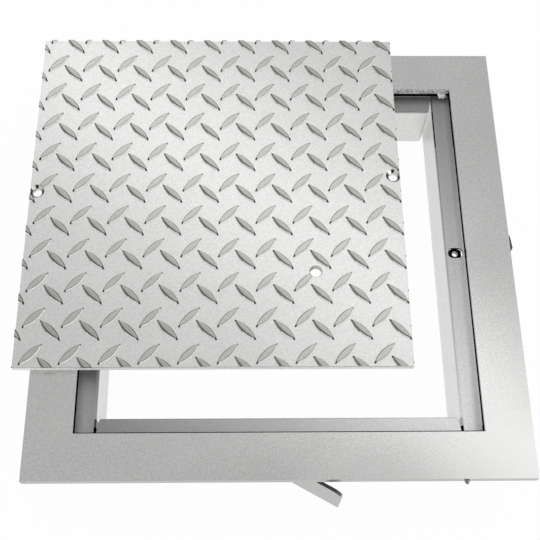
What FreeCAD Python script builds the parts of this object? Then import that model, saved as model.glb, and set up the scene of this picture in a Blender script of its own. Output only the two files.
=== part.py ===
import FreeCAD, Part
import math
import os
import Sketcher

# Chequer-plate access cover: a square galvanised frame that is set in paving,
# and its lid, lifted out and laid across the frame's flange.
# Origin: middle of the frame, on the level of the walls' bottom edges. +Z is up,
# -Y is the front, +X is the right.

doc = FreeCAD.newDocument("paving_cover")

DIMENSIONS = [
    ("frame_side", 400, "outer side of the flange"),
    ("flange_width", 38, "width of the flat flange"),
    ("flange_thickness", 8, "thickness of the flange plate"),
    ("sheet_thickness", 2, "thickness of the folded rails"),
    ("seat_depth", 14, "from the flange's top face down to the seat"),
    ("seat_width", 15.5, "flange's inner edge to the clear opening"),
    ("web_setback", 1.5, "web's face behind the flange's inner edge"),
    ("wall_drop", 51, "from the seat down to the wall's bottom edge"),
    ("fold_radius", 0.5, "inside radius of the folds"),
    ("butt_gap", 0.3, "open joints where the rails butt on each other"),
    ("relief_run", 2.4, "how far those ends are cut back at the clear opening"),
    ("relief_reach", 12, "length of that cut across the seat"),
    ("relief_radius", 3, "rounding where that cut meets the clear opening"),
    ("lid_gap", 0.8, "gap round the lid when it is seated"),
    ("lid_thickness", 6, "base thickness of the tread plate"),
    ("lid_shift_x", -52.5, "lid's middle from the frame's middle, to the side"),
    ("lid_shift_y", 50.5, "lid's middle from the frame's middle, to the back"),
    ("lug_pitch", 31.7, "pitch of the tread pattern both ways"),
    ("lug_length", 25, "length of a lug at its foot"),
    ("lug_width", 6.8, "width of a lug at its foot"),
    ("lug_height", 1.8, "height of a lug"),
    ("lug_draft", 28, "slope of a lug's flanks from upright, degrees"),
    ("lug_start_x", 13.7, "first rising lug from the lid's left edge"),
    ("lug_start_y", 11.3, "first rising lug from the lid's front edge"),
    ("lug_offset_x", 14.4, "falling lug from the rising one, to the side"),
    ("lug_offset_y", 11.1, "falling lug in front of the rising one"),
    ("screw_inset", 5.7, "screw hole's centre from the lid's edge"),
    ("screw_bore", 8, "clearance hole for an M6 screw"),
    ("countersink", 13, "countersink across its top"),
    ("right_screw_y", 15.5, "lid's right screw hole behind the middle"),
    ("lift_bore", 10, "lifting hole"),
    ("lift_chamfer", 0.4, "chamfer round the top of the lifting hole"),
    ("lift_x", 84.5, "lifting hole to the right of the lid's middle"),
    ("lift_y", 77, "lifting hole in front of the lid's middle"),
    ("slot_length", 13.5, "screw slot in the seat, across the rail"),
    ("slot_width", 9.5, "screw slot in the seat, along the rail"),
    ("nut_flats", 11, "M6 weld nut across flats"),
    ("nut_height", 5, "M6 weld nut height"),
    ("nut_bore", 5, "core of the M6 thread"),
    ("claw_thickness", 3, "thickness of the anchor straps"),
    ("claw_height", 45, "height of the anchor straps"),
    ("claw_gap", 1.5, "straps' top edge below the fold of the seat"),
    ("claw_foot", 30, "length of a strap that lies on the wall"),
    ("claw_angle", 29.4, "how far a strap is bent out, degrees"),
    ("claw_reach", 9.3, "how far a strap's tip stands out past the flange"),
    ("claw_corner", 9, "rounding of a strap's top corner"),
    ("front_tip_x", 48.5, "front strap's tip to the right of the middle"),
    ("knee_y", 7, "knee of the right strap, behind the middle"),
    ("knee_reach", 7.7, "how far that knee stands out past the flange"),
    ("tail_length", 17, "right strap's tail past its knee"),
    ("tail_angle", 5.4, "how far the tail turns back in, degrees"),
    ("drip_x", 145, "drip of zinc to the right of the middle"),
    ("drip_radius", 2.3, "radius of the drip at the plate's edge"),
    ("drip_length", 2.8, "how far the drip stands out"),
]


# Sizes that follow from the ones above, as formulas on the sheet
OPENING = "(Sizes.frame_side / 2 - Sizes.flange_width)"
CLEAR = "(Sizes.frame_side / 2 - Sizes.flange_width - Sizes.seat_width)"
WALL_BACK = "(%s + Sizes.sheet_thickness)" % CLEAR
WEB_FACE = "(%s + Sizes.web_setback)" % OPENING
WEB_BACK = "(%s + Sizes.sheet_thickness)" % WEB_FACE
SEAT = "Sizes.wall_drop"
FLANGE_TOP = "(Sizes.wall_drop + Sizes.seat_depth)"
FLANGE_FOOT = "(%s - Sizes.flange_thickness)" % FLANGE_TOP
LID_HALF = "(%s - Sizes.lid_gap)" % OPENING
SEAT_BACK = "(%s - Sizes.sheet_thickness)" % SEAT
RAIL_END = "(%s - Sizes.butt_gap)" % CLEAR
CLAW_FOOT = "(%s - Sizes.fold_radius - Sizes.claw_gap - Sizes.claw_height)" % SEAT_BACK
SCREW_X = "(%s - Sizes.screw_inset)" % LID_HALF
FOLD_OUTSIDE = "Sizes.fold_radius + Sizes.sheet_thickness"


def fill_sheet():
    sheet = doc.addObject("Spreadsheet::Sheet", "Sizes")
    for row, (name, value, note) in enumerate(DIMENSIONS, start=1):
        sheet.set("A%d" % row, name)
        sheet.set("B%d" % row, str(value))
        sheet.setAlias("B%d" % row, name)
        sheet.set("C%d" % row, note)
    doc.recompute()
    return sheet


sheet = fill_sheet()
bodies = []


def size(formula):
    """What a formula on the sheet comes to, as a plain number."""
    value = sheet.evalExpression(formula.replace("Sizes.", ""))
    return float(getattr(value, "Value", value))


def new_body(name, x="0", y="0", z="0", turn=0):
    """An empty sub-part at its place, turned about the upright axis."""
    body = doc.addObject("PartDesign::Body", name)
    body.Label = name
    body.Placement.Rotation = FreeCAD.Rotation(FreeCAD.Vector(0, 0, 1), turn)
    body.setExpression("Placement.Base.x", x)
    body.setExpression("Placement.Base.y", y)
    body.setExpression("Placement.Base.z", z)
    bodies.append(body)
    return body


def sketch_on(body, plane, name, lift="0", across="0", up="0"):
    """A sketch on one of the body's own planes, moved along its normal and within it."""
    sketch = body.newObject("Sketcher::SketchObject", name)
    origin = [part for part in body.Origin.OriginFeatures if part.Role == plane][0]
    sketch.AttachmentSupport = [(origin, "")]
    sketch.MapMode = "FlatFace"
    sketch.setExpression("AttachmentOffset.Base.x", across)
    sketch.setExpression("AttachmentOffset.Base.y", up)
    sketch.setExpression("AttachmentOffset.Base.z", lift)
    return sketch


def bind_point(sketch, geometry, end, across, up):
    """Ties one point of a sketch to its distances from the sketch's origin."""
    for kind, formula in (("DistanceX", across), ("DistanceY", up)):
        index = sketch.addConstraint(Sketcher.Constraint(kind, -1, 1, geometry, end, size(formula)))
        sketch.setExpression("Constraints[%d]" % index, formula)


def draw_outline(sketch, corners):
    """A closed outline of straight lines through corners given as pairs of formulas."""
    points = [FreeCAD.Vector(size(across), size(up), 0) for across, up in corners]
    first = sketch.GeometryCount
    count = len(points)
    for index in range(count):
        sketch.addGeometry(Part.LineSegment(points[index], points[(index + 1) % count]))
    for index in range(count):
        line = first + index
        following = first + (index + 1) % count
        sketch.addConstraint(Sketcher.Constraint("Coincident", line, 2, following, 1))
        bind_point(sketch, line, 1, *corners[index])


def draw_square(sketch, half):
    low = "-" + half
    draw_outline(sketch, [(low, low), (half, low), (half, half), (low, half)])


def draw_circle(sketch, radius, across="0", up="0"):
    centre = FreeCAD.Vector(size(across), size(up), 0)
    circle = sketch.addGeometry(Part.Circle(centre, FreeCAD.Vector(0, 0, 1), size(radius)))
    bind_point(sketch, circle, 3, across, up)
    index = sketch.addConstraint(Sketcher.Constraint("Radius", circle, size(radius)))
    sketch.setExpression("Constraints[%d]" % index, radius)


def add_pad(body, sketch, length, name, midplane=False):
    pad = body.newObject("PartDesign::Pad", name)
    pad.Profile = sketch
    pad.Midplane = midplane
    pad.setExpression("Length", length)
    doc.recompute()
    return pad


def add_pocket(body, sketch, depth, name, midplane=False):
    """Cuts the sketch out and makes sure that metal came away."""
    before = body.Shape.Volume
    pocket = body.newObject("PartDesign::Pocket", name)
    pocket.Profile = sketch
    pocket.Midplane = midplane
    pocket.setExpression("Length", depth)
    doc.recompute()
    if not body.Shape.Volume < before:
        raise ValueError("%s cuts nothing" % name)
    return pocket


def edges_through(feature, points, along):
    """Names of the feature's straight edges that run along an axis through given points."""
    names = []
    for number, edge in enumerate(feature.Shape.Edges, start=1):
        middle = edge.CenterOfMass
        run = edge.Vertexes[-1].Point - edge.Vertexes[0].Point
        if run.Length < 1e-6 or abs(abs(run.normalize().dot(along)) - 1) > 1e-6:
            continue
        for point in points:
            apart = middle - point
            if (apart - along * apart.dot(along)).Length < 0.01:
                names.append("Edge%d" % number)
    return names


def add_fillet(body, points, along, radius, name):
    base = body.Tip
    names = edges_through(base, points, along)
    if not names:
        raise ValueError("%s finds no edge" % name)
    fillet = body.newObject("PartDesign::Fillet", name)
    fillet.Base = (base, names)
    fillet.setExpression("Radius", radius)
    doc.recompute()
    return fillet


def make_flange():
    """The flat ring that shows in the paving, with a drip of zinc on its front edge."""
    body = new_body("flange_ring", z=FLANGE_FOOT)
    ring = sketch_on(body, "XY_Plane", "ring")
    draw_square(ring, "Sizes.frame_side / 2")
    draw_square(ring, OPENING)
    add_pad(body, ring, "Sizes.flange_thickness", "plate")
    drip = body.newObject("PartDesign::AdditiveCone", "drip")
    drip.Placement.Rotation = FreeCAD.Rotation(FreeCAD.Vector(1, 0, 0), 90)
    drip.setExpression("Placement.Base.x", "Sizes.drip_x")
    drip.setExpression("Placement.Base.y", "-Sizes.frame_side / 2")
    drip.setExpression("Placement.Base.z", "Sizes.drip_radius")
    drip.setExpression("Radius1", "Sizes.drip_radius")
    drip.setExpression("Radius2", "Sizes.drip_radius / 2")
    drip.setExpression("Height", "Sizes.drip_length")
    return body


def make_rail(name, length, turn):
    """A rail folded from sheet: a web under the flange, a seat for the lid and a deep wall."""
    body = new_body(name, turn=turn)
    section = sketch_on(body, "XZ_Plane", "section")
    corners = [
        (CLEAR, "0"),
        (WALL_BACK, "0"),
        (WALL_BACK, SEAT_BACK),
        (WEB_BACK, SEAT_BACK),
        (WEB_BACK, FLANGE_FOOT),
        (WEB_FACE, FLANGE_FOOT),
        (WEB_FACE, SEAT),
        (CLEAR, SEAT),
    ]
    draw_outline(section, corners)
    add_pad(body, section, length, "sheet", midplane=True)
    along = FreeCAD.Vector(0, 1, 0)
    for name, radius, edges in (
        ("inside_folds", "Sizes.fold_radius", [(WALL_BACK, SEAT_BACK), (WEB_FACE, SEAT)]),
        ("outside_folds", FOLD_OUTSIDE, [(CLEAR, SEAT), (WEB_BACK, SEAT_BACK)]),
    ):
        points = [FreeCAD.Vector(size(across), 0, size(up)) for across, up in edges]
        add_fillet(body, points, along, radius, name)
    return body


def cut_slot(body, along):
    """The slot in a seat that a lid screw passes through to its nut."""
    slot = sketch_on(body, "XY_Plane", "screw_slot", lift=SEAT, across=SCREW_X, up=along)
    reach = "((Sizes.slot_length - Sizes.slot_width) / 2)"
    radius = size("Sizes.slot_width / 2")
    half = size(reach)
    right = Part.Circle(FreeCAD.Vector(half, 0, 0), FreeCAD.Vector(0, 0, 1), radius)
    left = Part.Circle(FreeCAD.Vector(-half, 0, 0), FreeCAD.Vector(0, 0, 1), radius)
    quarter = math.pi / 2
    slot.addGeometry(Part.ArcOfCircle(right, -quarter, quarter))
    slot.addGeometry(Part.LineSegment(FreeCAD.Vector(half, radius, 0), FreeCAD.Vector(-half, radius, 0)))
    slot.addGeometry(Part.ArcOfCircle(left, quarter, 3 * quarter))
    slot.addGeometry(Part.LineSegment(FreeCAD.Vector(-half, -radius, 0), FreeCAD.Vector(half, -radius, 0)))
    for first, first_end, second, second_end in ((0, 2, 1, 1), (1, 2, 2, 1), (2, 2, 3, 1), (3, 2, 0, 1)):
        slot.addConstraint(Sketcher.Constraint("Tangent", first, first_end, second, second_end))
    slot.addConstraint(Sketcher.Constraint("Symmetric", 0, 3, 2, 3, -1, 1))
    slot.addConstraint(Sketcher.Constraint("PointOnObject", 0, 3, -1))
    rounding = slot.addConstraint(Sketcher.Constraint("Radius", 0, radius))
    slot.setExpression("Constraints[%d]" % rounding, "Sizes.slot_width / 2")
    spread = slot.addConstraint(Sketcher.Constraint("DistanceX", -1, 1, 0, 3, half))
    slot.setExpression("Constraints[%d]" % spread, reach)
    add_pocket(body, slot, "Sizes.sheet_thickness", "slot_cut")


def clear_end(body, name, side):
    """Cuts a rail's seat and wall back at one end to clear the rail that crosses there.

    Only the web runs on behind it. The cut slopes away at the clear opening, where it is rounded.
    """
    sketch = sketch_on(body, "XY_Plane", name, lift="%s + Sizes.fold_radius" % SEAT)
    slope = "atan(Sizes.relief_run / Sizes.relief_reach)"
    tangent = "(Sizes.relief_radius * tan((90deg - %s) / 2))" % slope
    start = "%s - Sizes.relief_run" % RAIL_END
    corners = [
        (CLEAR, WEB_BACK),
        (CLEAR, "%s - %s" % (start, tangent)),
        ("%s + %s * cos(%s)" % (CLEAR, tangent, slope), "%s + %s * sin(%s)" % (start, tangent, slope)),
        ("%s + Sizes.relief_reach" % CLEAR, RAIL_END),
        (WEB_FACE, RAIL_END),
        (WEB_FACE, WEB_BACK),
    ]
    corners = [(across, "%d * (%s)" % (side, up)) for across, up in corners]
    points = [FreeCAD.Vector(size(across), size(up), 0) for across, up in corners]
    radius = size("Sizes.relief_radius")
    centre = points[1] + FreeCAD.Vector(radius, 0, 0)
    middle = centre + ((points[1] + points[2]) / 2 - centre).normalize() * radius
    count = len(points)
    rounding = 1
    for line in range(count):
        after = points[(line + 1) % count]
        if line == rounding:
            sketch.addGeometry(Part.Arc(points[line], middle, after))
        else:
            sketch.addGeometry(Part.LineSegment(points[line], after))
    # The arc's own first end is the one that it leaves anticlockwise
    first, last = (1, 2) if side < 0 else (2, 1)
    for line in range(count):
        following = (line + 1) % count
        leaves = last if line == rounding else 2
        enters = first if following == rounding else 1
        sketch.addConstraint(Sketcher.Constraint("Coincident", line, leaves, following, enters))
    for line in range(count):
        if line == rounding:
            bind_point(sketch, line - 1, 2, *corners[line])
        else:
            bind_point(sketch, line, 1, *corners[line])
    index = sketch.addConstraint(Sketcher.Constraint("Radius", rounding, radius))
    sketch.setExpression("Constraints[%d]" % index, "Sizes.relief_radius")
    add_pocket(body, sketch, "%s + Sizes.fold_radius" % SEAT, name + "_cut")


def make_nut(name, x, y):
    """A weld nut under a screw slot, its top face on the underside of the seat."""
    body = new_body(name, x, y, "%s - Sizes.nut_height" % SEAT_BACK)
    flats = sketch_on(body, "XY_Plane", "flats")
    apothem = "Sizes.nut_flats / 2"
    corners = []
    for corner in range(6):
        angle = 30 + 60 * corner
        radius = "%s / cos(30deg)" % apothem
        corners.append(("%s * cos(%ddeg)" % (radius, angle), "%s * sin(%ddeg)" % (radius, angle)))
    draw_outline(flats, corners)
    draw_circle(flats, "Sizes.nut_bore / 2")
    add_pad(body, flats, "Sizes.nut_height", "nut")
    return body


def make_claw(name, turn, slide, out, tail):
    """An anchor strap: its foot lies on the wall's back, its arm is bent out past the flange.

    Drawn for the front of the frame: slide is how far the end of the arm lies to the
    right of the middle, and out how far its outer face stands from the middle there.
    """
    body = new_body(name, z=CLAW_FOOT, turn=turn)
    plan = sketch_on(body, "XY_Plane", "plan")
    bend = "Sizes.claw_angle * 1deg"
    half_bend = "Sizes.claw_angle * 0.5deg"
    thick = "Sizes.claw_thickness"
    heel = "(%s - (%s - %s - %s) / tan(%s))" % (slide, out, WALL_BACK, thick, bend)
    inner_heel = "(%s + %s * tan(%s))" % (heel, thick, half_bend)
    wall = "-" + WALL_BACK
    face = "-(%s + %s)" % (WALL_BACK, thick)
    foot_end = "%s - Sizes.claw_foot" % heel
    corners = [(foot_end, wall), (foot_end, face), (heel, face), (slide, "-(%s)" % out)]
    if tail:
        back = "Sizes.tail_angle * 1deg"
        knee = "((Sizes.claw_angle + Sizes.tail_angle) * 0.5deg)"
        turned = "(%s - %s)" % (bend, knee)
        end_x = "%s + Sizes.tail_length * cos(%s)" % (slide, back)
        end_y = "-(%s) + Sizes.tail_length * sin(%s)" % (out, back)
        corners.append((end_x, end_y))
        inner_x = "%s + %s * sin(%s)" % (end_x, thick, back)
        corners.append((inner_x, "%s + %s * cos(%s)" % (end_y, thick, back)))
        knee_x = "%s + %s * sin(%s) / cos(%s)" % (slide, thick, turned, knee)
        corners.append((knee_x, "-(%s) + %s * cos(%s) / cos(%s)" % (out, thick, turned, knee)))
    else:
        end_x = "%s + %s * sin(%s)" % (slide, thick, bend)
        corners.append((end_x, "-(%s) + %s * cos(%s)" % (out, thick, bend)))
    corners.append((inner_heel, wall))
    draw_outline(plan, corners)
    add_pad(body, plan, "Sizes.claw_height", "strap")
    round_tip(body)
    return body


def round_tip(body):
    """Rounds the strap's top corner, at the short edge across its end."""
    strap = body.Tip
    top = size("Sizes.claw_height")
    thick = size("Sizes.claw_thickness")
    ends = []
    for number, edge in enumerate(strap.Shape.Edges, start=1):
        if abs(edge.CenterOfMass.z - top) < 0.01 and abs(edge.Length - thick) < 0.01:
            ends.append((edge.CenterOfMass.x, "Edge%d" % number))
    fillet = body.newObject("PartDesign::Fillet", "top_corner")
    fillet.Base = (strap, [max(ends)[1]])
    fillet.setExpression("Radius", "Sizes.claw_corner")
    doc.recompute()


def lens_corners(length, width):
    """A lens shape with eight corners, its long axis along X."""
    upper = []
    for step in range(5):
        share = step / 2 - 1
        upper.append(FreeCAD.Vector(length * share / 2, width * (1 - share ** 2) / 2, 0))
    lower = [FreeCAD.Vector(corner.x, -corner.y, 0) for corner in upper[3:0:-1]]
    return upper + lower


def inset_corners(corners, depth, lift):
    """The same outline drawn in by one depth all round, at a higher level."""
    middle_lines = []
    for index, corner in enumerate(corners):
        run = (corners[(index + 1) % len(corners)] - corner).normalize()
        inward = FreeCAD.Vector(run.y, -run.x, 0)
        middle_lines.append((inward, inward.dot(corner) + depth))
    inset = []
    for index in range(len(corners)):
        (first, near), (second, far) = middle_lines[index - 1], middle_lines[index]
        area = first.x * second.y - first.y * second.x
        x = (near * second.y - far * first.y) / area
        y = (first.x * far - second.x * near) / area
        inset.append(FreeCAD.Vector(x, y, lift))
    return inset


def make_lug():
    """One lug of the tread: a lens-shaped foot, sloping flanks and a flat top."""
    height = size("Sizes.lug_height")
    slope = height * math.tan(math.radians(size("Sizes.lug_draft")))
    foot = lens_corners(size("Sizes.lug_length"), size("Sizes.lug_width"))
    top = inset_corners(foot, slope, height)
    faces = [Part.Face(Part.makePolygon(foot + foot[:1])), Part.Face(Part.makePolygon(top + top[:1]))]
    for index in range(len(foot)):
        after = (index + 1) % len(foot)
        side = [foot[index], foot[after], top[after], top[index], foot[index]]
        faces.append(Part.Face(Part.makePolygon(side)))
    return Part.Solid(Part.Shell(faces))


def tread_lugs(keep):
    """The whole tread: both kinds of lug at their pitch, each cut by the solid to keep in."""
    half = size(LID_HALF)
    pitch = size("Sizes.lug_pitch")
    reach = half + size("Sizes.lug_length") / 2
    x = size("Sizes.lug_start_x") - half
    y = size("Sizes.lug_start_y") - half
    offset_x = size("Sizes.lug_offset_x") - pitch
    offset_y = -size("Sizes.lug_offset_y")
    count = math.floor(2 * half / pitch) + 2
    lugs = []
    for turn, first_x, first_y in ((45, x, y), (-45, x + offset_x, y + offset_y)):
        lug = make_lug()
        lug.rotate(FreeCAD.Vector(0, 0, 0), FreeCAD.Vector(0, 0, 1), turn)
        for index in range(count * count):
            place_x = first_x + index % count * pitch
            place_y = first_y + index // count * pitch
            if max(abs(place_x), abs(place_y)) < reach:
                placed = lug.translated(FreeCAD.Vector(place_x, place_y, size("Sizes.lid_thickness")))
                lugs += placed.common(keep).Solids
    return lugs


def cut_turned(body, name, x, y, profile):
    """A turned hole: a half profile swept round an upright axis at x, y."""
    before = body.Shape.Volume
    sketch = sketch_on(body, "XZ_Plane", name + "_profile", across=x, lift="-(%s)" % y)
    draw_outline(sketch, profile)
    groove = body.newObject("PartDesign::Groove", name)
    groove.Profile = sketch
    groove.ReferenceAxis = (sketch, ["V_Axis"])
    groove.Angle = 360
    doc.recompute()
    if not body.Shape.Volume < before:
        raise ValueError("%s cuts nothing" % name)


def make_lid():
    """The lid: tread plate cut to size as the pattern falls, with its screw and lifting holes."""
    plate = new_body("lid_plate")
    bodies.remove(plate)
    outline = sketch_on(plate, "XY_Plane", "outline")
    draw_square(outline, LID_HALF)
    add_pad(plate, outline, "Sizes.lid_thickness", "sheet")
    bore = "Sizes.screw_bore / 2"
    head = "Sizes.countersink / 2"
    cone_foot = "Sizes.lid_thickness - (Sizes.countersink - Sizes.screw_bore) / 2"
    above = "Sizes.lid_thickness + 2 * Sizes.lug_height"
    below = "-Sizes.lid_thickness"
    face = "Sizes.lid_thickness"
    screw = [("0", below), (bore, below), (bore, cone_foot), (head, face), (head, above), ("0", above)]
    cut_turned(plate, "right_screw_hole", SCREW_X, "Sizes.right_screw_y", screw)
    cut_turned(plate, "left_screw_hole", "-" + SCREW_X, "0", screw)
    lift = "Sizes.lift_bore / 2"
    lift_foot = "Sizes.lid_thickness - Sizes.lift_chamfer"
    mouth = "(%s + Sizes.lift_chamfer)" % lift
    chamfered = [("0", below), (lift, below), (lift, lift_foot), (mouth, face), (mouth, above), ("0", above)]
    cut_turned(plate, "lifting_hole", "Sizes.lift_x", "-Sizes.lift_y", chamfered)

    half = size(LID_HALF)
    deep = 4 * size("Sizes.lid_thickness + Sizes.lug_height")
    keep = Part.makeBox(2 * half, 2 * half, deep, FreeCAD.Vector(-half, -half, 0))
    for x, y, radius in (
        (SCREW_X, "Sizes.right_screw_y", head),
        ("-" + SCREW_X, "0", head),
        ("Sizes.lift_x", "-Sizes.lift_y", mouth),
    ):
        keep = keep.cut(Part.makeCylinder(size(radius), deep, FreeCAD.Vector(size(x), size(y), 0)))
    lid = doc.addObject("Part::Feature", "tread_lid")
    lid.Shape = plate.Shape.fuse(tread_lugs(keep))
    lid.Label = "tread_lid"
    lid.setExpression("Placement.Base.x", "Sizes.lid_shift_x")
    lid.setExpression("Placement.Base.y", "Sizes.lid_shift_y")
    lid.setExpression("Placement.Base.z", FLANGE_TOP)
    bodies.append(lid)
    return lid


def check_model():
    """Stops unless every object computed and every sub-part is one sound solid."""
    for item in doc.Objects:
        if "Invalid" in item.State or "Error" in item.State:
            raise ValueError("%s did not compute" % item.Name)
    for body in bodies:
        shape = body.Shape
        if shape.isNull() or not shape.isValid():
            raise ValueError("%s is not sound" % body.Label)
        print(body.Label, len(shape.Solids), round(shape.Volume, 1), len(shape.Faces))


make_flange()
side_length = "2 * (%s - Sizes.butt_gap)" % WEB_FACE
end_length = "2 * %s" % WEB_BACK
right_rail = make_rail("right_rail", side_length, 0)
back_rail = make_rail("back_rail", end_length, 90)
left_rail = make_rail("left_rail", side_length, 180)
front_rail = make_rail("front_rail", end_length, 270)
for rail in (front_rail, back_rail):
    clear_end(rail, "far_end", 1)
    clear_end(rail, "near_end", -1)
cut_slot(right_rail, "0")
cut_slot(left_rail, "Sizes.right_screw_y")
make_nut("right_nut", SCREW_X, "0")
make_nut("left_nut", "-" + SCREW_X, "-Sizes.right_screw_y")
arm_out = "(Sizes.frame_side / 2 + Sizes.claw_reach)"
knee_out = "(Sizes.frame_side / 2 + Sizes.knee_reach)"
make_claw("front_claw", 0, "Sizes.front_tip_x", arm_out, tail=False)
make_claw("right_claw", 90, "Sizes.knee_y", knee_out, tail=True)
make_claw("back_claw", 180, "Sizes.front_tip_x", arm_out, tail=False)
make_claw("left_claw", 270, "Sizes.knee_y", knee_out, tail=True)
make_lid()
doc.recompute()
check_model()
os.makedirs("parts", exist_ok=True)
for body in bodies:
    body.Shape.exportStep("parts/%s.step" % body.Label)
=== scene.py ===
import bpy
import math
from mathutils import Matrix, Vector


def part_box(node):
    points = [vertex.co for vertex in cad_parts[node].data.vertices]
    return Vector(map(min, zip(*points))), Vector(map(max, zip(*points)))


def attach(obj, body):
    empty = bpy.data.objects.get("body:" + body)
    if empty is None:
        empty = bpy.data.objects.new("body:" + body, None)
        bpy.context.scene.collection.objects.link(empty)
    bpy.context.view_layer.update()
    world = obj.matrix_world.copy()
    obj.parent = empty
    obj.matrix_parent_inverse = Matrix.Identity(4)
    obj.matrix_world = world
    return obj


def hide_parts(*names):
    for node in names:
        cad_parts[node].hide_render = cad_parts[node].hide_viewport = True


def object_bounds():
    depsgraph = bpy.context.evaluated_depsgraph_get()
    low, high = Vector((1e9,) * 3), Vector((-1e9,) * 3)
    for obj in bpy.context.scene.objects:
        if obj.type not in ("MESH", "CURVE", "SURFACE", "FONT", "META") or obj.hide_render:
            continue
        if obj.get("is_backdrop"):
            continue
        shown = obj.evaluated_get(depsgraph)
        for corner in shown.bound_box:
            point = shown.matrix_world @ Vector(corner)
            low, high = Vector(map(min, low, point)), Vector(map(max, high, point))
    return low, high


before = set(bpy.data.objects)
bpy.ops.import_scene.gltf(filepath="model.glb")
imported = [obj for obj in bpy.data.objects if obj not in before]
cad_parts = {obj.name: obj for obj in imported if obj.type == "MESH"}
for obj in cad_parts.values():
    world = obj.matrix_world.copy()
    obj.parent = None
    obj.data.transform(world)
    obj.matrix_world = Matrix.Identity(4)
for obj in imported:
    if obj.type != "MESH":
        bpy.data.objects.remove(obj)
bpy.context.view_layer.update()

# Recessed paving cover: the tread-plate lid lies across its galvanised frame.
# Row frame: metres, +Z up, -Y the front, the middle of the clear opening at x = y = 0.
mm = 0.001


def deselectAll():
    if bpy.context.mode != "OBJECT":
        bpy.ops.object.mode_set(mode="OBJECT")
    bpy.ops.object.select_all(action="DESELECT")


def makeActive(piece):
    deselectAll()
    piece.select_set(True)
    bpy.context.view_layer.objects.active = piece


# Camera: placed by the flange's corners and the seat's edges in the photograph
cameraPlace = {
    "spot": (-22.4 * mm, -362.9 * mm, 803.4 * mm),
    "downDegrees": 65.22,
    "rightDegrees": 2.69,
    "rollDegrees": 2.32,
    "focalPixels": 962.4,
    "photoPixels": 540,
    "sensor": 36.0,
}


def placeCamera(place):
    deselectAll()
    bpy.ops.object.camera_add(location=place["spot"])
    camera = bpy.context.object
    camera.name = "photoCamera"
    turn = Matrix.Rotation(math.radians(-place["rightDegrees"]), 3, "Z")
    tilt = Matrix.Rotation(math.radians(90 - place["downDegrees"]), 3, "X")
    roll = Matrix.Rotation(math.radians(place["rollDegrees"]), 3, "Z")
    camera.rotation_euler = (turn @ tilt @ roll).to_euler()
    camera.data.sensor_width = place["sensor"]
    camera.data.lens = place["focalPixels"] / place["photoPixels"] * place["sensor"]
    camera.data.clip_start = 0.01
    bpy.context.scene.camera = camera


placeCamera(cameraPlace)
print("camera placed")


# Materials
# sRGB hex to the linear colour that a shader takes
def linear(hexColour):
    parts = [int(hexColour[i:i + 2], 16) / 255 for i in (1, 3, 5)]
    return tuple(c / 12.92 if c <= 0.04045 else ((c + 0.055) / 1.055) ** 2.4 for c in parts) + (1.0,)


# Adds one node, sets its properties or sockets, and links sockets to other nodes' outputs
def addNode(tree, kind, settings=None, links=None):
    node = tree.nodes.new(kind)
    for name, value in (settings or {}).items():
        if isinstance(name, int) or name in node.inputs:
            node.inputs[name].default_value = value
        else:
            setattr(node, name, value)
    for name, output in (links or {}).items():
        tree.links.new(output, node.inputs[name])
    return node


def newMaterial(name):
    material = bpy.data.materials.new(name)
    material.use_nodes = True
    tree = material.node_tree
    tree.nodes.clear()
    output = addNode(tree, "ShaderNodeOutputMaterial")
    shader = addNode(tree, "ShaderNodeBsdfPrincipled")
    tree.links.new(shader.outputs["BSDF"], output.inputs["Surface"])
    coordinates = addNode(tree, "ShaderNodeTexCoord").outputs["Object"]
    return material, tree, shader, coordinates


def colourRamp(tree, factor, stops):
    ramp = addNode(tree, "ShaderNodeValToRGB", links={"Fac": factor})
    elements = ramp.color_ramp.elements
    while len(elements) < len(stops):
        elements.new(0.5)
    for element, (place, colour) in zip(elements, stops):
        element.position = place
        element.color = colour
    return ramp.outputs["Color"]


def grey(value):
    return (value, value, value, 1.0)


def multiplyColours(tree, first, second, share=None):
    mix = addNode(tree, "ShaderNodeMix", {"data_type": "RGBA", "blend_type": "MULTIPLY", 0: 1.0},
                  {6: first, 7: second})
    if share:
        tree.links.new(share, mix.inputs[0])
    return mix.outputs[2]


# Noise whose grains have a real size
def addNoise(tree, coordinates, size, detail, distortion=0.0):
    settings = {"Scale": 1 / size, "Detail": detail, "Distortion": distortion}
    return addNode(tree, "ShaderNodeTexNoise", settings, {"Vector": coordinates}).outputs["Fac"]


# How far a place lies along a direction
def along(tree, coordinates, direction):
    settings = {"operation": "DOT_PRODUCT", 1: direction}
    return addNode(tree, "ShaderNodeVectorMath", settings, {0: coordinates}).outputs["Value"]


# A value that goes from one level to another along a direction
def slide(tree, coordinates, direction, reach, levels):
    slid = addNode(tree, "ShaderNodeMapRange", {"From Min": reach[0], "From Max": reach[1],
                                                "To Min": levels[0], "To Max": levels[1]},
                   {"Value": along(tree, coordinates, direction)})
    return slid.outputs["Result"]


roughSpread = 0.04     # how much the roughness follows the clouds, up and down


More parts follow.
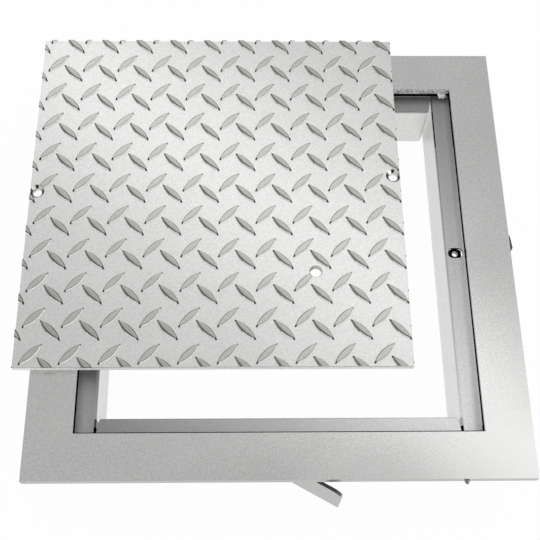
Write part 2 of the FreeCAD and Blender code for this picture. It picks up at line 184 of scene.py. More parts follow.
# Hot-dip galvanised steel: zinc over rolled plate, a dull satin with a fine pebbled grain and
# broad soft clouds. Each face's painted shade and dross value darkens it, from 0, the open sheet, to 1,
# nearly black: painted shade in creases, recesses and on sides turned from the light, with dull grey zinc.
def galvanisedSteel(name, tone, placeTone=None):
    material, tree, shader, coordinates = newMaterial(name)
    clouds = addNoise(tree, coordinates, tone["cloudSize"], 3.0)
    grain = addNoise(tree, coordinates, tone["grainSize"], 2.0, 0.8)
    # painted shade and dross per face pick the zinc's colour from this ramp
    shadeAndDross = addNode(tree, "ShaderNodeAttribute", {"attribute_name": "shadeAndDross"}).outputs["Fac"]
    colour = colourRamp(tree, shadeAndDross, [(place, linear(shade)) for place, shade in tone["shadeAndDrossRamp"]])
    cloudShade = colourRamp(tree, clouds, [(0.3, grey(1 - tone["cloudy"])), (0.7, grey(1))])
    colour = multiplyColours(tree, colour, cloudShade)
    speckle = colourRamp(tree, grain, [(0.35, grey(1 - tone["speckle"])), (0.65, grey(1))])
    if "smoothCorner" in tone:
        colour = multiplyColours(tree, colour, speckle, slide(tree, coordinates, *tone["smoothCorner"]))
        colour = multiplyColours(tree, colour, slide(tree, coordinates, *tone["cornerShade"]))
    else:
        colour = multiplyColours(tree, colour, speckle)
    # colour by place: on the rails, the seat's painted shade and painted light
    if placeTone:
        colour = multiplyColours(tree, colour, placeTone(tree, coordinates))
    tree.links.new(colour, shader.inputs["Base Color"])
    smooth, dull = tone["roughness"] - roughSpread, tone["roughness"] + roughSpread
    rough = addNode(tree, "ShaderNodeMapRange", {"To Min": smooth, "To Max": dull}, {"Value": clouds})
    tree.links.new(rough.outputs["Result"], shader.inputs["Roughness"])
    bump = addNode(tree, "ShaderNodeBump", {"Strength": tone["bump"], "Distance": tone["bumpDepth"]},
                   {"Height": grain})
    if "warp" in tone:
        slope = along(tree, coordinates, tone["warp"])
        warp = addNode(tree, "ShaderNodeBump", {"Strength": 1.0, "Distance": 1.0}, {"Height": slope})
        tree.links.new(warp.outputs["Normal"], bump.inputs["Normal"])
    tree.links.new(bump.outputs["Normal"], shader.inputs["Normal"])
    shader.inputs["Metallic"].default_value = tone["metallic"]
    return material


# Bright zinc on turned or threaded steel: nearly a mirror with faint turning marks
def polishedZinc(name, tone):
    material, tree, shader, coordinates = newMaterial(name)
    marks = addNoise(tree, coordinates, tone["markSize"], 1.0)
    # painted reflection on the cones and painted shade on the nut darken this zinc face by face
    shadeAndDross = addNode(tree, "ShaderNodeAttribute", {"attribute_name": "shadeAndDross"}).outputs["Fac"]
    colour = colourRamp(tree, shadeAndDross, [(0.0, linear(tone["light"])), (1.0, linear(tone["dark"]))])
    streaks = colourRamp(tree, marks, [(0.3, grey(0.85)), (0.7, grey(1.0))])
    tree.links.new(multiplyColours(tree, colour, streaks), shader.inputs["Base Color"])
    shader.inputs["Metallic"].default_value = 1.0
    shader.inputs["Roughness"].default_value = tone["roughness"]
    return material


# Thick matte zinc that ran together and froze, mottled light and dark
def zincRuns(name, tone):
    material, tree, shader, coordinates = newMaterial(name)
    mottle = addNoise(tree, coordinates, tone["mottleSize"], 3.0)
    colour = colourRamp(tree, mottle, [(0.35, linear(tone["dark"])), (0.62, linear(tone["light"]))])
    tree.links.new(colour, shader.inputs["Base Color"])
    bump = addNode(tree, "ShaderNodeBump", {"Strength": tone["bump"], "Distance": tone["bumpDepth"]},
                   {"Height": mottle})
    tree.links.new(bump.outputs["Normal"], shader.inputs["Normal"])
    shader.inputs["Metallic"].default_value = tone["metallic"]
    shader.inputs["Roughness"].default_value = tone["roughness"]
    return material


# Painted shadow: a black for seam gaps, webs and faces painted as lying in shade
def shadowBlack(name, tone):
    material, tree, shader, coordinates = newMaterial(name)
    shader.inputs["Base Color"].default_value = linear(tone)
    shader.inputs["Roughness"].default_value = 0.9
    shader.inputs["Specular IOR Level"].default_value = 0.0
    return material


plateTone = {
    "shadeAndDrossRamp": [(0.0, "#E6E6E5"), (0.35, "#BCBBB6"), (0.6, "#8B8A86"), (1.0, "#1F1F1D")],
    "cloudSize": 90 * mm, "cloudy": 0.05,
    "grainSize": 1.7 * mm, "speckle": 0.13, "bump": 0.35, "bumpDepth": 0.15 * mm,
    "roughness": 0.33, "metallic": 1.0,
}
frameTone = {
    "shadeAndDrossRamp": [(0.0, "#DADAD9"), (0.5, "#8A8A88"), (1.0, "#0C0C0C")],
    "cloudSize": 70 * mm, "cloudy": 0.06,
    "grainSize": 1.3 * mm, "speckle": 0.2, "bump": 0.1, "bumpDepth": 0.15 * mm,
    "roughness": 0.235, "metallic": 1.0,
    "warp": (-0.0245, -0.0317, 0.0),         # slope that the zinc bath left in the flange
    # direction, reach and levels of the speckle and of the shade towards the front right corner
    "smoothCorner": ((1, -1, 0), (200 * mm, 380 * mm), (1.0, 0.12)),
    "cornerShade": ((0.4, -1, 0), (155 * mm, 215 * mm), (1.0, 0.91)),
}
railTone = {
    "shadeAndDrossRamp": [(0.0, "#FFFFFE"), (0.5, "#8A8A88"), (1.0, "#101010")],
    "cloudSize": 70 * mm, "cloudy": 0.03,
    "grainSize": 1.3 * mm, "speckle": 0.16, "bump": 0.4, "bumpDepth": 0.15 * mm,
    "roughness": 0.42, "metallic": 0.6,
}
clawTone = dict(railTone, roughness=0.35)
coneTone = {"light": "#F4F4F4", "dark": "#161616", "markSize": 0.8 * mm, "roughness": 0.15}
whiteTone = {"light": "#FFFFFE", "dark": "#ECECEA", "mottleSize": 1.6 * mm, "bump": 0.3,
             "bumpDepth": 0.3 * mm, "roughness": 0.5, "metallic": 0.0}
runsTone = {"light": "#F4F4F3", "dark": "#A2A2A0", "mottleSize": 2.2 * mm, "bump": 0.5,
            "bumpDepth": 0.3 * mm, "roughness": 0.5, "metallic": 0.25}
nutTone = {"light": "#A8A8A8", "dark": "#101010", "markSize": 0.8 * mm, "roughness": 0.18}

print("materials set out")


# Small tools for modelling
# Applies the modifiers and shades smooth up to an angle, with large flat faces kept flat
def finishMesh(piece, angle=35):
    makeActive(piece)
    for modifier in list(piece.modifiers):
        bpy.ops.object.modifier_apply(modifier=modifier.name)
    bpy.ops.object.shade_smooth_by_angle(angle=math.radians(angle))
    flatten = piece.modifiers.new("flat", "WEIGHTED_NORMAL")
    flatten.keep_sharp = True
    bpy.ops.object.modifier_apply(modifier=flatten.name)


# Brings points that a cut or a rounding pushed out back to the node's own box
def keepWithin(piece, node):
    low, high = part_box(node)
    for vertex in piece.data.vertices:
        vertex.co = [min(max(at, least), most) for at, least, most in zip(vertex.co, low, high)]


# reads each face's painted shade and dross value
def readShadeAndDross(piece):
    values = [0.0] * len(piece.data.polygons)
    piece.data.attributes["shadeAndDross"].data.foreach_get("value", values)
    return values


# Writes each face's painted shade and dross value, as paint(middle, normal) says
def paintShadeAndDross(piece, paint):
    attribute = piece.data.attributes.get("shadeAndDross") or piece.data.attributes.new("shadeAndDross", "FLOAT", "FACE")
    values = readShadeAndDross(piece)
    for index, face in enumerate(piece.data.polygons):
        amount = paint(face.center, face.normal)
        if amount is not None:
            values[index] = amount
    attribute.data.foreach_set("value", values)


def subtract(piece, cutter, keepCutter=False, operation="DIFFERENCE"):
    makeActive(piece)
    cut = piece.modifiers.new("cut", "BOOLEAN")
    cut.operation = operation
    cut.object = cutter
    cut.solver = "EXACT"
    bpy.ops.object.modifier_apply(modifier=cut.name)
    if not keepCutter:
        bpy.data.objects.remove(cutter)


def addCylinder(radius, low, high, x=0.0, y=0.0, sides=64, topRadius=None):
    deselectAll()
    top = radius if topRadius is None else topRadius
    bpy.ops.mesh.primitive_cone_add(vertices=sides, radius1=radius, radius2=top, depth=high - low,
                                    location=(x, y, (low + high) / 2))
    return bpy.context.object


def bakePlace(piece):
    makeActive(piece)
    bpy.ops.object.transform_apply(location=True, rotation=True, scale=True)


def joinAll(pieces, name):
    makeActive(pieces[0])
    for piece in pieces[1:]:
        piece.select_set(True)
    bpy.ops.object.join()
    joined = bpy.context.object
    joined.name = name
    return joined


# The lid: tread plate with lens-shaped lugs
lidSizes = {
    "plateThickness": 6 * mm,
    "lugPitch": 31.7 * mm,
    "lugStart": (13.7 * mm, 11.3 * mm),      # first rising lug from the lid's front left corner
    "fallingOffset": (14.4 * mm, -11.1 * mm),  # falling lug from the rising one beside it
    "lugLength": 25.2 * mm,
    "lugWidth": 6.8 * mm,
    "lugSides": 96,                          # sides of the whole circle that each flank is an arc of
    # rings up a lug: share of its length, of its width and of its height
    "lugRings": [(0.975, 0.93, 0.35), (0.935, 0.83, 0.88), (0.92, 0.77, 1.0), (0.88, 0.6, 1.02),
                 (0.84, 0.47, 1.03), (0.5, 0.2, 1.04)],
    "edgeRounding": 0.35 * mm,
    "screwHoles": [(155.5 * mm, 15.5 * mm), (-155.5 * mm, 0.0)],  # from the lid's middle
    "screwBore": 8 * mm,
    "countersink": 13 * mm,
    "liftHole": (84.5 * mm, -77 * mm),
    "liftBore": 10 * mm,
    "liftChamfer": 0.4 * mm,
    "liftShade": (0.38, 0.7),                # painted shade of the hole's wall, and of its darker left side
    "liftSide": 2 * mm,                      # where that left side begins, from the hole's middle
    # painted shade on the rounding along the lid's upper front edge
    "frontEdgeShade": 0.35,
    "cutGrey": 0.35,                        # greyer colour of the lugs' ends where the edges cut them
    "cutReach": 0.05 * mm,
}
# How much painted shade and dross each band up a lug's near and far flank holds, from its foot to its top,
# with white zinc below zero as a painted highlight. The dark crease holds painted shade and dross, the darker
# flank turned from the light is painted shade. Tips are the ends to the left and right, and bright is the
# near flank past a share of the lug.
risingLugShadeAndDross = {
    "near": [-1.0, -1.0, 0.85, 0.34, 0.25, 0.25], "far": [0.0, 0.3, 1.0, 0.55, 0.25, 0.25],
    "bright": None, "brightFrom": 1.0, "top": 0.25, "leftTip": 1.0, "rightTip": 0.5,
}
fallingLugShadeAndDross = {
    "near": [0.0, 0.25, 0.8, 0.68, 0.95, 0.4], "far": [0.8, 1.0, 1.0, 0.45, 0.36, 0.36],
    "bright": [-1.0, -1.0, 0.3, 0.75, 1.0, 0.42], "brightFrom": 0.0,
    "top": 0.37, "leftTip": 0.9, "rightTip": 1.0,
}
tipShare = 0.84        # where a lug's tip begins, as a share of half its length
hair = 0.01 * mm       # how far cutters overlap, so that they leave no skin


# One lug: the lens where two large rounds cross, drawn up and in by rings
def makeLug(sizes, height):
    half = sizes["lugLength"] / 2
    bulge = sizes["lugWidth"] / 2
    radius = (half ** 2 + bulge ** 2) / (2 * bulge)
    skirt = 0.2 * mm
    lug = addCylinder(radius, -skirt, skirt / 2, y=bulge - radius, sides=sizes["lugSides"])
    other = addCylinder(radius, -2 * skirt, skirt, y=radius - bulge, sides=sizes["lugSides"])
    bakePlace(lug)
    subtract(lug, other, operation="INTERSECT")
    makeActive(lug)
    bpy.ops.object.mode_set(mode="EDIT")
    bpy.ops.mesh.select_mode(type="FACE")
    bpy.ops.mesh.select_all(action="DESELECT")
    bpy.ops.object.mode_set(mode="OBJECT")
    for face in lug.data.polygons:
        face.select = face.normal.z > 0.9
    bpy.ops.object.mode_set(mode="EDIT")
    length, width, level = 1.0, 1.0, skirt / 2
    for nextLength, nextWidth, share in sizes["lugRings"]:
        rise = share * height - level
        bpy.ops.mesh.extrude_region_move(TRANSFORM_OT_translate={"value": (0, 0, rise)})
        bpy.ops.transform.resize(value=(nextLength / length, nextWidth / width, 1), center_override=(0, 0, 0))
        length, width, level = nextLength, nextWidth, share * height
    bpy.ops.object.mode_set(mode="OBJECT")
    return lug


# Paints a lug's painted shade, painted highlight and dross, band by band up its flanks and at its tips
def paintLug(lug, sizes, height, shadeAndDross):
    half = sizes["lugLength"] / 2
    levels = [share * height for length, width, share in sizes["lugRings"]]

    def paint(middle, normal):
        along = middle.x / half
        if abs(along) > tipShare:
            return shadeAndDross["rightTip"] if along > 0 else shadeAndDross["leftTip"]
        bands = shadeAndDross["far"] if middle.y > 0 else shadeAndDross["near"]
        if bands is shadeAndDross["near"] and along > shadeAndDross["brightFrom"]:
            bands = shadeAndDross["bright"]
        for band, level in enumerate(levels):
            if middle.z < level - 0.001 * mm:
                return bands[band]
        return shadeAndDross["top"]

    paintShadeAndDross(lug, paint)


# Copies a turned lug over the sheet at the tread's pitch
def spreadLugs(lug, turn, start, sizes, count):
    copies = []
    for index in range(count * count):
        place = Vector((start[0] + index % count * sizes["lugPitch"],
                        start[1] + index // count * sizes["lugPitch"], start[2]))
        copy = lug.copy()
        copy.data = lug.data.copy()
        bpy.context.scene.collection.objects.link(copy)
        copy.data.transform(Matrix.Translation(place) @ Matrix.Rotation(math.radians(turn), 4, "Z"))
        copies.append(copy)
    return joinAll(copies, "lugs")


# Cuts a piece off at the lid's four sheared edges and closes the cuts
def trimToEdges(piece, low, high):
    makeActive(piece)
    bpy.ops.object.mode_set(mode="EDIT")
    for point, outward in ((low, (-1, 0, 0)), (low, (0, -1, 0)), (high, (1, 0, 0)), (high, (0, 1, 0))):
        bpy.ops.mesh.select_all(action="SELECT")
        bpy.ops.mesh.bisect(plane_co=point, plane_no=outward, use_fill=True, clear_outer=True)
    bpy.ops.object.mode_set(mode="OBJECT")


# The solids that cut the lid's holes: bore, countersink and the way up through a lug
def holeCutters(sizes, low, high, plateTop, holes, lift, coneMaterial, plateMaterial):
    cutters = []
    for (x, y), bore, mouth in [(hole, sizes["screwBore"], sizes["countersink"]) for hole in holes] + [
            (lift, sizes["liftBore"], sizes["liftBore"] + 2 * sizes["liftChamfer"])]:
        coneFoot = plateTop - (mouth - bore) / 2
        cutters.append(addCylinder(bore / 2, low.z - 1 * mm, coneFoot + hair, x, y))
        cutters.append(addCylinder(bore / 2, coneFoot, plateTop, x, y, topRadius=mouth / 2))
        cutters.append(addCylinder(mouth / 2, plateTop - hair, high.z + 1 * mm, x, y))
    for index, cutter in enumerate(cutters):
        cutter.data.materials.append(coneMaterial if index < 3 * len(holes) else plateMaterial)
    return cutters


# Painted reflection on the polished cones, in sectors round each hole: dark behind, bright to both
# sides of that, then dark again to the left and right
coneSectors = [(-30, 0.9), (12, 0.35), (32, 0.0), (76, 0.95),
               (106, 0.0), (148, 0.85), (215, 0.3), (330, 0.9)]


def sectorReflection(angle):
    places = [(start - 360, amount) for start, amount in coneSectors] + coneSectors
    return [amount for start, amount in places if start <= angle][-1]


def makeLid(sizes):
    low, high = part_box("tread_lid")
    middle = (low + high) / 2
    plateTop = low.z + sizes["plateThickness"]
    lugHeight = high.z - plateTop
    holes = [(middle.x + x, middle.y + y) for x, y in sizes["screwHoles"]]
    lift = (middle.x + sizes["liftHole"][0], middle.y + sizes["liftHole"][1])

    deselectAll()
    bpy.ops.mesh.primitive_cube_add(size=1, location=(middle.x, middle.y, (low.z + plateTop) / 2))
    plate = bpy.context.object
    plate.scale = (high.x - low.x, high.y - low.y, sizes["plateThickness"])
    bakePlace(plate)
    edges = plate.modifiers.new("sheared", "BEVEL")
    edges.width = sizes["edgeRounding"]
    edges.segments = 3
    bpy.ops.object.modifier_apply(modifier=edges.name)
    paintShadeAndDross(plate, lambda middle, normal: 0.0)

    lugSolid = lugHeight / sizes["lugRings"][-1][2]
    lug = makeLug(sizes, lugSolid)
    count = math.floor((high.x - low.x) / sizes["lugPitch"]) + 1
    startX, startY = low.x + sizes["lugStart"][0], low.y + sizes["lugStart"][1]
    offsetX, offsetY = sizes["fallingOffset"]
    paintLug(lug, sizes, lugSolid, risingLugShadeAndDross)
    rising = spreadLugs(lug, 45, (startX, startY, plateTop), sizes, count)
    paintLug(lug, sizes, lugSolid, fallingLugShadeAndDross)
    fallingStart = (startX + offsetX - sizes["lugPitch"], startY + offsetY, plateTop)
    falling = spreadLugs(lug, -45, fallingStart, sizes, count)
    bpy.data.objects.remove(lug)
    for lugs in (rising, falling):
        trimToEdges(lugs, low, high)

    treadZinc = galvanisedSteel("galvanisedTreadPlate", plateTone)
    whiteZincAndHighlight = zincRuns("paintedHighlightZinc", whiteTone)
    coneZinc = polishedZinc("turnedCountersink", coneTone)
    for piece in (plate, rising, falling):
        piece.data.materials.clear()
        piece.data.materials.append(treadZinc)
    cutters = holeCutters(sizes, low, high, plateTop, holes, lift, coneZinc, treadZinc)
    for piece in (plate, rising, falling):
        for cutter in cutters:
            subtract(piece, cutter, keepCutter=True)
    for cutter in cutters:
        bpy.data.objects.remove(cutter)
    lid = joinAll([plate, rising, falling], "tread_lid_zinc")
    finishMesh(lid, 40)
    keepWithin(lid, "tread_lid")

    def paintCuts(centre, normal):
        inset = min(centre.x - low.x, high.x - centre.x, centre.y - low.y, high.y - centre.y)
        isCut = inset < sizes["cutReach"] and centre.z > plateTop and abs(normal.z) < 0.3
        return sizes["cutGrey"] if isCut else None

    paintShadeAndDross(lid, paintCuts)
    lid.data.materials.append(whiteZincAndHighlight)
    # painted highlight: the rising lugs' near flanks, below zero, and the lid's lower front face get the
    # white zinc
    for face, amount in zip(lid.data.polygons, readShadeAndDross(lid)):
        onFront = face.normal.y < -0.2 and face.center.y < low.y + sizes["edgeRounding"]
        if amount < 0 or onFront and face.center.z < plateTop - sizes["edgeRounding"]:
            face.material_index = len(lid.data.materials) - 1

    def paintHoles(centre, normal):
        for x, y in holes:
            across, back = centre.x - x, centre.y - y
            # painted reflection: a countersink's cone takes its sector's light or dark, its upright wall a
            # light grey
            if math.hypot(across, back) < sizes["countersink"] / 2 and centre.z < plateTop - 2 * hair:
                upright = abs(normal.z) < 0.2
                return 0.1 if upright else sectorReflection(math.degrees(math.atan2(back, across)))
        # painted shade: a grey line on the rounding of the lid's upper front edge
        onFrontEdge = centre.y < low.y + sizes["edgeRounding"] and normal.y < -0.2
        if onFrontEdge and centre.z > plateTop - sizes["edgeRounding"]:
            return sizes["frontEdgeShade"]
        # painted shade in the lift hole, darker on its left side
        across, back = centre.x - lift[0], centre.y - lift[1]
        if math.hypot(across, back) < sizes["liftBore"] / 2 + sizes["liftChamfer"]:
            return sizes["liftShade"][0 if across > -sizes["liftSide"] else 1]
        return None

    paintShadeAndDross(lid, paintHoles)
    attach(lid, "root")
    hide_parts("tread_lid")
    return lid


makeLid(lidSizes)
print("lid made")

# The frame: flange, rails, straps and nuts
frameSizes = {
    "edgeRounding": {"flange_ring": 0.6 * mm, "rail": 0.25 * mm, "claw": 0.4 * mm, "nut": 0.3 * mm},
    "seatTones": [(0.31, "#A2A2A2"), (0.5, "#9E9E9E"), (0.69, "#CECECE"), (0.875, "#FFFFFF")],
    "sheet": 2 * mm,                         # thickness of the rails
    "seatLift": (0.22, 0.14),                # painted light: how much lighter the left and right seats get next to the web, against its shade
    "liftReach": ((144 * mm, 163 * mm), (154 * mm, 164 * mm)),  # where that begins and ends
    "webShade": 0.97,                        # painted shade on the web's upper part, in the flange's shadow
    "webFootShade": 0.0,
    "webFoot": 5.2 * mm,                     # how far above the seat the web has no painted shade
    "backWebFoot": 0.8 * mm,
    "innerEdgeShade": 0.93,                       # painted shade on the flange's inner faces below their unshaded upper edge
    "unshadedEdge": 2.4 * mm,
    "runsFoot": 0.8 * mm,                      # how far up the back inner face the painted black shadow goes
    # painted seam shadow: past the first two the side rails' inner sides are painted black, past the last one
    # greyer
    "seamEnds": (108 * mm, -154 * mm, 147 * mm),
    "clearedShade": (0.15, 0.5, 0.2),        # painted shade of the greyer part: at the back, front left and front right
    # painted shadow black for seams, webs and shaded inner faces
    "shadowBlackColour": "#0B0B0B",
    "frontSeam": 0.7 * mm,                   # width of the painted black shadow line at the front edge of the opening
    "dripDross": 0.5,
    # greyer front rim and front face; on the opening's front inner face this grey is painted shade
    "frontRimGrey": 0.6,
    "frontFaceGrey": 0.28,
    "frontRimReach": 1 * mm,                 # how far in from the front edge the rim is greyer
    "innerReach": 5 * mm,                    # no inner face lies further in from the rails' outside
    "clawShade": (0.32, 0.85),               # greyer sides, and dark painted shade on the top and bottom edges
    "nutShade": (0.2, 1.0),                  # painted shade: light in the bore, near black on the rest
    "slotReach": (7.2 * mm, 6 * mm),         # a box round the slot, from its middle
    "nutBore": 3 * mm,
}
flangeLow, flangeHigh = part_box("flange_ring")
nutLow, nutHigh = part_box("right_nut")
slotMiddle = (nutLow.x + nutHigh.x) / 2
seatHigh = nutHigh.z + frameSizes["sheet"]            # the nut hangs under the seat's sheet


# The seat's painted shade: darker at the back and left and lighter to the front and right, with painted
# light next to the side webs; below it, the walls keep the rail's plain colour all over
def seatTone(tree, coordinates):
    reach = 2 * flangeHigh.x
    share = slide(tree, coordinates, (1, -1, 0), (-reach, reach), (0.0, 1.0))
    leftLift, rightLift = frameSizes["seatLift"]
    leftReach, rightReach = frameSizes["liftReach"]
    left = slide(tree, coordinates, (-1, 0, 0), leftReach, (0.0, leftLift))
    right = slide(tree, coordinates, (1, 0, 0), rightReach, (0.0, rightLift))
    lift = addNode(tree, "ShaderNodeMath", {"operation": "ADD"}, {0: left, 1: right})
    lifted = addNode(tree, "ShaderNodeMath", {"operation": "ADD"}, {0: share, 1: lift.outputs["Value"]})
    stops = [(place, linear(tone)) for place, tone in frameSizes["seatTones"]]
    seat = colourRamp(tree, lifted.outputs["Value"], stops)
    above = slide(tree, coordinates, (0, 0, 1), (seatHigh - 3 * mm, seatHigh - 1 * mm), (0.0, 1.0))
    mix = addNode(tree, "ShaderNodeMix", {"data_type": "RGBA", 6: grey(1.0)}, {0: above, 7: seat})
    return mix.outputs[2]


# Painted shade on the flange: inner faces painted black below an unshaded upper edge, a painted black
# shadow line before the opening, and a greyer front rim
def flangeShade(middle, normal, sizes, seam):
    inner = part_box("back_rail")[1].y
    if max(abs(middle.x), abs(middle.y)) < inner:
        # painted shade: the opening's front inner face lies in shade, its top rounding painted black
        if normal.y > 0.3:
            return 1.0 if normal.z > 0.3 else sizes["frontRimGrey"]
        if abs(normal.z) > 0.5:
            onSeam = -seam < middle.y < sizes["frontSeam"] - seam and abs(middle.x) < -middle.y
            return 1.0 if onSeam else 0.0
        if normal.y < -0.5 and middle.z > flangeLow.z + sizes["runsFoot"]:
            return 0.0
        unshaded = middle.z > flangeHigh.z - sizes["unshadedEdge"] and normal.x < 0.5
        return 0.0 if unshaded else sizes["innerEdgeShade"]
    if middle.y < -flangeHigh.y - 0.1 * mm:
        return sizes["dripDross"]
    if normal.y < -0.2 and middle.y < sizes["frontRimReach"] - flangeHigh.y:
        return sizes["frontRimGrey"] if normal.z > 0.2 else sizes["frontFaceGrey"]
    return 0.0


# Half the width of the flange's opening, and the line of the painted black shadow before it
def seamLine(piece, sizes):
    reaches = [max(abs(vertex.co.x), abs(vertex.co.y)) for vertex in piece.data.vertices]
    return min(reaches) + sizes["frontSeam"]


# Painted shade on a rail: black webs under the flange, a black slot, and black seam shadows where the corners
# were cleared
def railShade(middle, normal, sizes, node):
    webFoot = {"back_rail": sizes["backWebFoot"], "left_rail": 0.0}.get(node, sizes["webFoot"])
    if abs(normal.z) < 0.5 and middle.z > seatHigh + 0.3 * mm:
        return sizes["webFootShade"] if middle.z < seatHigh + webFoot else sizes["webShade"]
    if node not in ("right_rail", "left_rail"):
        return 0.0
    across, along = sizes["slotReach"]
    # painted shade: the slot is black inside
    if abs(normal.z) < 0.5 and abs(abs(middle.x) - slotMiddle) < across and abs(middle.y) < along:
        return 1.0
    inward = -normal.x if node == "right_rail" else normal.x
    behind, before, cleared = sizes["seamEnds"]
    if inward > 0.3 and middle.y < before:
        return 1.0
    if inward > 0.3 and abs(middle.y) > cleared:
        return sizes["clearedShade"][0 if middle.y > 0 else 1 if node == "left_rail" else 2]
    return 1.0 if 0.5 < inward < 0.9 and middle.y > behind and node == "right_rail" else 0.0


# Paints a dressed node's painted shade, and gives the flange's inner faces their runs of thick zinc and
# painted highlight lines along their back and right top edges
def paintFrame(piece, node, sizes):
    if node == "flange_ring":
        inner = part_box("back_rail")[1].y
        seam = max(-vertex.co.y for vertex in piece.data.vertices if -inner < vertex.co.y < 0)
        paintShadeAndDross(piece, lambda middle, normal: flangeShade(middle, normal, sizes, seam))
        runs, white = 1, 2
        for face in piece.data.polygons:
            middle, normal = face.center, face.normal
            atBack = inner - sizes["innerReach"] < middle.y < inner and abs(middle.x) < inner
            atRight = inner - sizes["innerReach"] < middle.x < inner
            # painted highlight: white zinc along the back and right inner top edges; below it on the back
            # face, runs of thick zinc
            if atBack and normal.y < -0.2:
                if normal.z > 0.3:
                    face.material_index = white
                elif middle.z > flangeLow.z + sizes["runsFoot"]:
                    face.material_index = runs
            if atRight and normal.x < -0.2 and normal.z > 0.3:
                face.material_index = white
    elif "rail" in node:
        paintShadeAndDross(piece, lambda middle, normal: railShade(middle, normal, sizes, node))
    elif "claw" in node:
        # painted shade on the straps' top and bottom edges
        paintShadeAndDross(piece, lambda middle, normal: sizes["clawShade"][0 if abs(normal.z) < 0.5 else 1])
    else:
        # painted shade: the nut near black, its bore light
        def paintNut(middle, normal):
            inBore = math.hypot(abs(middle.x) - slotMiddle, middle.y) < sizes["nutBore"]
            return sizes["nutShade"][0 if inBore and abs(normal.z) < 0.5 else 1]

        paintShadeAndDross(piece, paintNut)


# Adds edges where a plane crosses a piece, so that paint can change there
def splitAt(piece, place, normal):
    makeActive(piece)
    bpy.ops.object.mode_set(mode="EDIT")
    bpy.ops.mesh.select_all(action="SELECT")
    bpy.ops.mesh.bisect(plane_co=place, plane_no=normal)
    bpy.ops.object.mode_set(mode="OBJECT")


# A merged copy of a CAD node with softly rounded edges stands for the node
def dressNode(node, materials, sizes, kind):
    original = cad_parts[node]
    copy = original.copy()
    copy.data = original.data.copy()
    for key in list(copy.keys()):            # the frame's own tags stay with the original
        del copy[key]
    copy.parent = None
    bpy.context.scene.collection.objects.link(copy)
    copy.name = node + "_zinc"
    copy.data.materials.clear()
    for material in materials:
        copy.data.materials.append(material)
    makeActive(copy)
    bpy.ops.object.mode_set(mode="EDIT")
    bpy.ops.mesh.select_all(action="SELECT")
    bpy.ops.mesh.remove_doubles(threshold=0.001 * mm)
    bpy.ops.mesh.dissolve_limited(angle_limit=math.radians(1))
    bpy.ops.object.mode_set(mode="OBJECT")
    if kind == "flange_ring":
        splitAt(copy, (0, 0, flangeHigh.z - sizes["unshadedEdge"]), (0, 0, 1))
        splitAt(copy, (0, 0, flangeLow.z + sizes["runsFoot"]), (0, 0, 1))
        opening = seamLine(copy, sizes)
        splitAt(copy, (0, -opening, 0), (0, 1, 0))
        for side in (-1, 1):
            splitAt(copy, (side * (opening - sizes["frontSeam"]), 0, 0), (1, 0, 0))
    if kind == "rail":
        webFoot = sizes["backWebFoot" if node == "back_rail" else "webFoot"]
        splitAt(copy, (0, 0, seatHigh + webFoot), (0, 0, 1))
    if node in ("right_rail", "left_rail"):
        for end in sizes["seamEnds"] + (-sizes["seamEnds"][2],):
            splitAt(copy, (0, end, 0), (0, 1, 0))
    bevel = copy.modifiers.new("edges", "BEVEL")
    bevel.width = sizes["edgeRounding"][kind]
    bevel.segments = 2
    bevel.limit_method = "ANGLE"
    bevel.angle_limit = math.radians(40)
    finishMesh(copy)
    keepWithin(copy, node)
    paintFrame(copy, node, sizes)
    # faces painted nearly black as shade take the painted shadow black
    for face, amount in zip(copy.data.polygons, readShadeAndDross(copy)):
        if amount > 0.9:
            face.material_index = len(materials) - 1
    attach(copy, "root")
    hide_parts(node)
    return copy


# The lump of zinc left hanging in the frame's back corner, on the web under the flange
zincBlob = {
    "parts": [((154.9, 160.9, 55.4), (1.9, 2.3, 2.5)), ((157.8, 160.7, 56.2), (2.1, 2.4, 3.2)),
              ((160.0, 161.2, 55.2), (1.3, 1.8, 1.5)), ((153.6, 161.3, 57.6), (1.5, 1.5, 1.3))],
}


def addBlob(blob, material):
    lumps = []
    for place, size in blob["parts"]:
        deselectAll()
        bpy.ops.mesh.primitive_ico_sphere_add(subdivisions=3, radius=1, location=[v * mm for v in place])
        lump = bpy.context.object
        lump.scale = [v * mm for v in size]
        bakePlace(lump)
        lumps.append(lump)
    zinc = joinAll(lumps, "zinc_blob")
    zinc.data.materials.append(material)
    merge = zinc.modifiers.new("merge", "REMESH")
    merge.mode = "VOXEL"
    merge.voxel_size = 0.25 * mm
    soften = zinc.modifiers.new("soften", "SMOOTH")
    soften.iterations = 4
    finishMesh(zinc, 60)
    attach(zinc, "root")


def makeFrame(sizes):
    flangeZinc = galvanisedSteel("galvanisedFlange", frameTone)
    railZinc = galvanisedSteel("galvanisedRail", railTone, seatTone)
    clawZinc = galvanisedSteel("galvanisedStrap", clawTone)
    runsZinc = zincRuns("zincRuns", runsTone)
    whiteZincAndHighlight = zincRuns("whiteZincAndHighlight", whiteTone)
    nutZinc = polishedZinc("brightZincNut", nutTone)
    black = shadowBlack("shadowBlack", sizes["shadowBlackColour"])
    finishes = {
        "flange_ring": [flangeZinc, runsZinc, whiteZincAndHighlight, black],
        "rail": [railZinc, black],
        "claw": [clawZinc],
        "nut": [nutZinc],
    }
    for node in sorted(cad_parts):
        if node == "tread_lid":
            continue
        kind = node if node in sizes["edgeRounding"] else node.split("_")[-1]
        dressNode(node, finishes[kind], sizes, kind)
    addBlob(zincBlob, whiteZincAndHighlight)


makeFrame(frameSizes)
print("frame dressed")


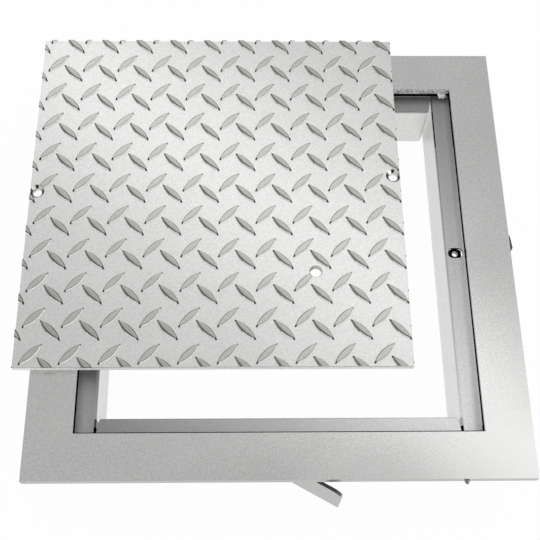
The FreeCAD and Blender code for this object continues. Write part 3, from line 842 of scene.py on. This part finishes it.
# Stage: a white floor that keeps a faint shadow, a soft sky and softboxes
stageSettings = {
    "floorSize": 14.0,
    "floorGap": 0.2 * mm,       # under the part's lowest point
    "floorPaint": "#FAFAFA",
    "floorGlow": 0.97,          # how much of the floor's white doesn't depend on the light
    "skyTop": 0.685,
    "horizonDark": 0.75,
    "horizonLight": 1.35,
    "brightSide": (0.86, -0.5, 0.0),
    "sideReach": (-0.8, 0.8),   # how far to the dull and to the bright side the horizon changes
    "upReach": (0.1, 0.6),      # how high the horizon gives way to the sky
    "softboxes": [
        {"name": "stripSoftbox", "spot": (0.14, 0.91, 1.8), "along": (0.79, -0.61, 0.0),
         "size": (0.3, 2.6), "power": 3.35},
        {"name": "sideSoftbox", "spot": (2.2, -1.0, 0.9), "along": (0.0, 0.0, 1.0),
         "size": (1.0, 1.0), "power": 5.0},
    ],
}


# A floor that camera, glossy and transmission rays see white, and that light falls on as paint
def addFloor(settings):
    deselectAll()
    low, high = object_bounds()
    level = Vector(low).z - settings["floorGap"]
    bpy.ops.mesh.primitive_plane_add(size=settings["floorSize"], location=(0, 0, level))
    floor = bpy.context.object
    floor.name = "whiteFloor"
    material = bpy.data.materials.new("whiteFloorPaint")
    material.use_nodes = True
    tree = material.node_tree
    tree.nodes.clear()
    output = addNode(tree, "ShaderNodeOutputMaterial")
    paint = addNode(tree, "ShaderNodeBsdfDiffuse", {"Color": linear(settings["floorPaint"])})
    white = addNode(tree, "ShaderNodeEmission", {"Color": grey(1.0), "Strength": 1.0})
    path = addNode(tree, "ShaderNodeLightPath").outputs
    seen = addNode(tree, "ShaderNodeMath", {"operation": "ADD"},
                   {0: path["Is Camera Ray"], 1: path["Is Glossy Ray"]})
    allSeen = addNode(tree, "ShaderNodeMath", {"operation": "ADD", "use_clamp": True},
                      {0: seen.outputs["Value"], 1: path["Is Transmission Ray"]})
    share = addNode(tree, "ShaderNodeMath", {"operation": "MULTIPLY", 1: settings["floorGlow"]},
                    {0: allSeen.outputs["Value"]})
    mix = addNode(tree, "ShaderNodeMixShader", links={
        0: share.outputs["Value"], 1: paint.outputs["BSDF"], 2: white.outputs["Emission"]})
    tree.links.new(mix.outputs["Shader"], output.inputs["Surface"])
    floor.data.materials.append(material)
    floor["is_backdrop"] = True


# An even sky whose horizon is bright to the right and dull to the left
def addSky(settings):
    world = bpy.data.worlds.new("softSky")
    bpy.context.scene.world = world
    world.use_nodes = True
    tree = world.node_tree
    tree.nodes.clear()
    direction = addNode(tree, "ShaderNodeTexCoord").outputs["Generated"]
    horizon = slide(tree, direction, settings["brightSide"], settings["sideReach"],
                    (settings["horizonDark"], settings["horizonLight"]))
    upShare = slide(tree, direction, (0, 0, 1), settings["upReach"], (0.0, 1.0))
    level = addNode(tree, "ShaderNodeMix", {"data_type": "FLOAT", 3: settings["skyTop"]},
                    {0: upShare, 2: horizon})
    background = addNode(tree, "ShaderNodeBackground", {"Color": grey(1.0)}, {"Strength": level.outputs[0]})
    output = addNode(tree, "ShaderNodeOutputWorld")
    tree.links.new(background.outputs["Background"], output.inputs["Surface"])


# A softbox that looks down at the frame, its length laid along a direction
def addSoftbox(box):
    deselectAll()
    bpy.ops.object.light_add(type="AREA", location=box["spot"])
    lamp = bpy.context.object
    lamp.name = box["name"]
    lamp.data.shape = "RECTANGLE"
    lamp.data.size, lamp.data.size_y = box["size"]
    lamp.data.energy = box["power"]
    back = Vector(box["spot"]).normalized()
    across = Vector(box["along"]).cross(back).normalized()
    lamp.rotation_euler = Matrix((across, back.cross(across), back)).transposed().to_euler()


addFloor(stageSettings)
addSky(stageSettings)
for box in stageSettings["softboxes"]:
    addSoftbox(box)
bpy.context.scene.view_settings.view_transform = "Standard"
print("stage lit")
